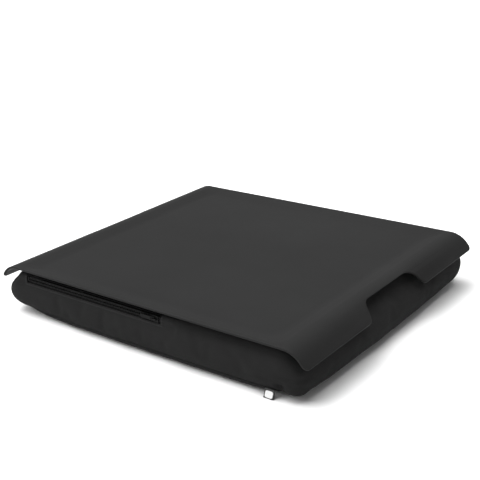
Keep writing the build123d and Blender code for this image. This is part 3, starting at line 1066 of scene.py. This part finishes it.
def make_filling(liner, liner_cloth, bead):
    """The inner bag and the beads in it, drawn in from the cover and pushed in behind the zip."""
    finish_with(liner, "REMESH", mode="VOXEL", voxel_size=filling_voxel)
    beads = copy_of(liner, "bead_fill")
    for piece, skin_depth, material, material_slot, node in (
        (liner, liner_depth, liner_cloth, "liner_cloth", "liner_bag"),
        (beads, bead_depth, bead, "beads", "bead_filling"),
    ):
        spots, normals = points_of(piece)
        spots -= normals * skin_depth
        by_zip = (
            (spots[:, 1] < behind_zip)
            & (spots[:, 0] > tape_low.x - room_beside_zip)
            & (spots[:, 0] < tape_high.x + room_beside_zip)
            & (spots[:, 2] > window_low - room_below_zip)
        )
        spots[by_zip, 1] = behind_zip + skin_depth
        for middle_spot, reach, depth in corner_folds:
            # Where the cover is folded in, what it holds lies deeper
            wide = fold_wider * np.array(reach)
            deeper = max(0, -fold_deeper * depth)
            spots -= normals * (deeper * bump_at(spots, middle_spot, wide))[:, None]
        if piece is beads:
            spots -= normals * (bead_relief * (1 + lumps(spots, *bead_groups)))[:, None]
        move_points(piece, spots)
        smooth(piece, angle=60)
        finish_piece(piece, material, material_slot, "cushion", node)


def finish_piece(piece, material, material_slot, body, *nodes):
    """Gives a piece its material and its body, and hides the nodes that it stands for."""
    piece.data.materials.clear()
    piece.data.materials.append(material)
    if nodes:
        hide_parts(*nodes)
    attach(piece, body)
    return piece


# Stitches and label


def thread_mesh():
    """One stitch: a short rod whose ends dip into the cloth, lying along X."""
    clear_selection()
    bpy.ops.mesh.primitive_cylinder_add(
        vertices=6, radius=stitch_width / 2, depth=stitch_length, rotation=(0, math.pi / 2, 0),
    )
    stitch = seat(named("stitch"))
    edit(stitch)
    # Cut in four along its length, to bend
    for share in (-0.25, 0, 0.25):
        pick(stitch, "faces", lambda face: True)
        bpy.ops.mesh.bisect(plane_co=(share * stitch_length, 0, 0), plane_no=(1, 0, 0))
    for vert in edited_verts(stitch):
        off = 2 * vert.co.x / stitch_length
        vert.co.z -= stitch_dip_share * stitch_width * off**2
    done()
    return stitch


def stitch_line(name, runs, material):
    """Stitches along runs of (place, way, outward) triples, as one piece."""
    stitch = thread_mesh()
    copies = []
    for place, way, out in runs:
        copied = copy_of(stitch, name)
        side_way = out.cross(way).normalized()
        up = way.cross(side_way).normalized()
        copied.matrix_world = placed(way, side_way, up, place)
        copies.append(copied)
    bpy.data.objects.remove(stitch)
    clear_selection()
    for copied in copies:
        copied.select_set(True)
    bpy.context.view_layer.objects.active = copies[0]
    bpy.ops.object.join()
    thread = seat(named(name))
    smooth(thread, angle=60)
    return finish_piece(thread, material, "cover_cloth", "cushion")


def sew_strips(material):
    """Stitches round the four loop strips on the cushion."""
    runs = []
    up = Vector((0, 0, 1))
    for strip in strips:
        low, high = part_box(f"loop_strip_{strip}")
        spot = (low + high) / 2
        half_length = high.x - spot.x - stitch_margin
        half_width = high.y - spot.y - stitch_margin
        count = round(4 * (half_length + half_width) / stitch_step)
        loop = outline_points(half_length, half_width, stitch_corner, 0, count)
        ways = np.roll(loop, -1, axis=0) - np.roll(loop, 1, axis=0)
        for place, way in zip(loop, ways):
            place = Vector((spot.x + place[0], spot.y + place[1], high.z))
            runs.append((place, Vector((*way, 0)).normalized(), up))
    return stitch_line("strip_stitches", runs, material)


def sew_zip(band, material):
    """A row of stitches on the side panel, below the zip's window and up its ends."""
    left = window_left - stitch_margin
    right = window_right + stitch_margin
    low = window_low - stitch_margin
    along, up = Vector((1, 0, 0)), Vector((0, 0, 1))
    spots = [(x, low, along) for x in np.arange(left, right, stitch_step)]
    for x in (left, right):
        spots += [(x, z, up) for z in np.arange(low + stitch_step, window_high, stitch_step)]
    runs = []
    for x, z, way in spots:
        hit, place, normal, _ = band.ray_cast(Vector((x, -cushion_half_length, z)), Vector((0, 1, 0)))
        if hit:
            way = (way - normal * way.dot(normal)).normalized()
            runs.append((place + normal * stitch_lift, way, normal))
    return stitch_line("zip_stitches", runs, material)


def make_label(material):
    """The ribbon folded on itself in the near side's bottom seam, its fold leaning out over the floor."""
    low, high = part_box("label_loop")
    seat_spot = Vector(((low.x + high.x) / 2, high.y + label_sink, high.z - label_sink))
    down = Vector((0, -math.sin(label_lean), -math.cos(label_lean)))
    out = Vector((0, -math.cos(label_lean), math.sin(label_lean)))
    fold = label_length - label_half_gap
    path = [seat_spot + out * label_half_gap + down * fold * share for share in np.linspace(0, 1, 7)]
    path += [
        seat_spot + down * fold
        + out * label_half_gap * math.cos(turn) + down * label_half_gap * math.sin(turn)
        for turn in np.linspace(0, math.pi, 9)[1:-1]
    ]
    path += [seat_spot - out * label_half_gap + down * fold * share for share in np.linspace(1, 0, 7)]
    columns = 12

    def place_of(row, column):
        """A point of the ribbon, by its place along it and across it."""
        return (path[row].x + (2 * column / columns - 1) * label_half_width, path[row].y, path[row].z)

    label = roll_grid("label_ribbon", len(path) - 1, columns, place_of)
    face_outwards()
    finish_with(label, "SOLIDIFY", thickness=ribbon_thick, offset=0)
    finish_with(
        label, "BEVEL", width=ribbon_edge, segments=2, limit_method="ANGLE", angle_limit=math.radians(50),
    )
    smooth(label, angle=50)
    return finish_piece(label, material, "label_ribbon", "cushion", "label_loop")


# Studio


def stand_at(data, place, turn):
    """Puts a camera or a light in the scene, turned by a quaternion."""
    thing = bpy.data.objects.new(data.name, data)
    thing.location = place
    thing.rotation_mode = "QUATERNION"
    thing.rotation_quaternion = turn
    bpy.context.scene.collection.objects.link(thing)
    return thing


def aim_camera():
    """The camera at the photograph's viewing angle."""
    data = bpy.data.cameras.new("view_camera")
    data.lens = camera_lens
    data.sensor_width = camera_sensor
    data.clip_start = camera_near
    level = (camera_aim - camera_place).to_track_quat("-Z", "Y")
    turn = level @ Matrix.Rotation(camera_roll, 3, "Z").to_quaternion()
    bpy.context.scene.camera = stand_at(data, camera_place, turn)


def soft_sun(name, place, strength):
    """Even, very soft light from one side, as from a wide diffuser, so that the whole floor stays white."""
    data = bpy.data.lights.new(name, "SUN")
    data.energy = strength
    data.angle = sun_width
    stand_at(data, place, Vector(place).to_track_quat("Z", "Y"))


def set_stage():
    """Pale floor, even light all round and two soft suns, from high on the left and from above."""
    clear_selection()
    bpy.ops.mesh.primitive_plane_add(size=floor_size)
    floor = named("studio_floor")
    material, _, shader, _ = new_material("studio_white", roughness=0.9)
    shader["Base Color"].default_value = (floor_grey, floor_grey, floor_grey, 1)
    floor.data.materials.append(material)
    floor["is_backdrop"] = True
    world = bpy.data.worlds.new("studio")
    world.use_nodes = True
    tree = world.node_tree
    backdrop = tree.nodes["Background"]
    skyward = put(tree, "ShaderNodeTexCoord").outputs["Generated"]
    height = put(tree, "ShaderNodeSeparateXYZ", {"Vector": skyward}).outputs["Z"]
    ramp = put(tree, "ShaderNodeValToRGB", {"Fac": height})
    for element, (place, grey) in zip(ramp.color_ramp.elements, world_greys):
        element.position = place
        element.color = (grey, grey, grey, 1)
    tree.links.new(ramp.outputs["Color"], backdrop.inputs["Color"])
    # Seen directly, past the floor's edge, the studio is as white as the floor
    seen = put(tree, "ShaderNodeLightPath").outputs["Is Camera Ray"]
    strength = blend_of(tree, seen, world_strength, world_seen_strength)
    tree.links.new(strength, backdrop.inputs["Strength"])
    bpy.context.scene.world = world
    for sun in suns:
        soft_sun(*sun)
    bpy.context.scene.view_settings.view_transform = "Standard"


def dress_node(name, material, edge_width):
    """Gives a node that stays its material, and eases its edges."""
    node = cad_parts[name]
    node.data.materials.clear()
    node.data.materials.append(material)
    modify(node, "WELD", merge_threshold=same_length)
    modify(node, "BEVEL", width=edge_width, segments=2, limit_method="ANGLE", angle_limit=sharp_edge)


aim_camera()
set_stage()

surface_grain = build_grain()
plain_weave = build_weave()
fine_dust = build_dust()
cover_cloth = woven_cloth("cover_weave", cover_pitch, cover_greys_and_weave_shade, cover_thread_depth)
sewing_thread = hard_black("sewing_thread", thread_greys, roughness=0.7)

make_tray(moulded_plastic())
panels, liner = make_cover(cover_cloth)
make_filling(liner, liner_fabric(), bead_foam())
sew_zip(panels["cover_side"], sewing_thread)
sew_strips(sewing_thread)
make_label(ribbon_weave())

hook_tape = fastener_tape("hook_rows", hook_greys_and_hollow_shade, scale=2600.0, depth=0.6 * MM, ordered=True)
loop_tape = fastener_tape("loop_felt", loop_greys_and_hollow_shade, scale=900.0, depth=0.8 * MM, ordered=False)
for strip in strips:
    dress_node(f"hook_strip_{strip}", hook_tape, edge_width=0.2 * MM)
    dress_node(f"loop_strip_{strip}", loop_tape, edge_width=0.2 * MM)

zip_cloth = woven_cloth(
    "zip_weave", zip_pitch, zip_cloth_greys_with_shade, zip_thread_depth, specular=0.04, unwrapped=False,
)
zip_nylon = hard_black("zip_nylon", zip_nylon_greys_with_shade, roughness=0.55, specular=0.1)
zip_lacquer = hard_black("zip_lacquer", zip_lacquer_greys, roughness=0.55, specular=0.08)
for row in ("upper", "lower"):
    dress_node(f"zip_tape_{row}", zip_cloth, edge_width=0.15 * MM)
    dress_node(f"zip_teeth_{row}", zip_nylon, edge_width=0.2 * MM)
for name in ("zip_bottom_stop", "zip_top_stop"):
    dress_node(name, zip_lacquer, edge_width=0.25 * MM)
for name in ("zip_slider", "zip_pull"):
    dress_node(name, zip_lacquer, edge_width=0.22 * MM)

({
    "cad": [list(corner) for corner in (cad_low, cad_high)],
    "visual": [list(corner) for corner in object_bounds()],
})
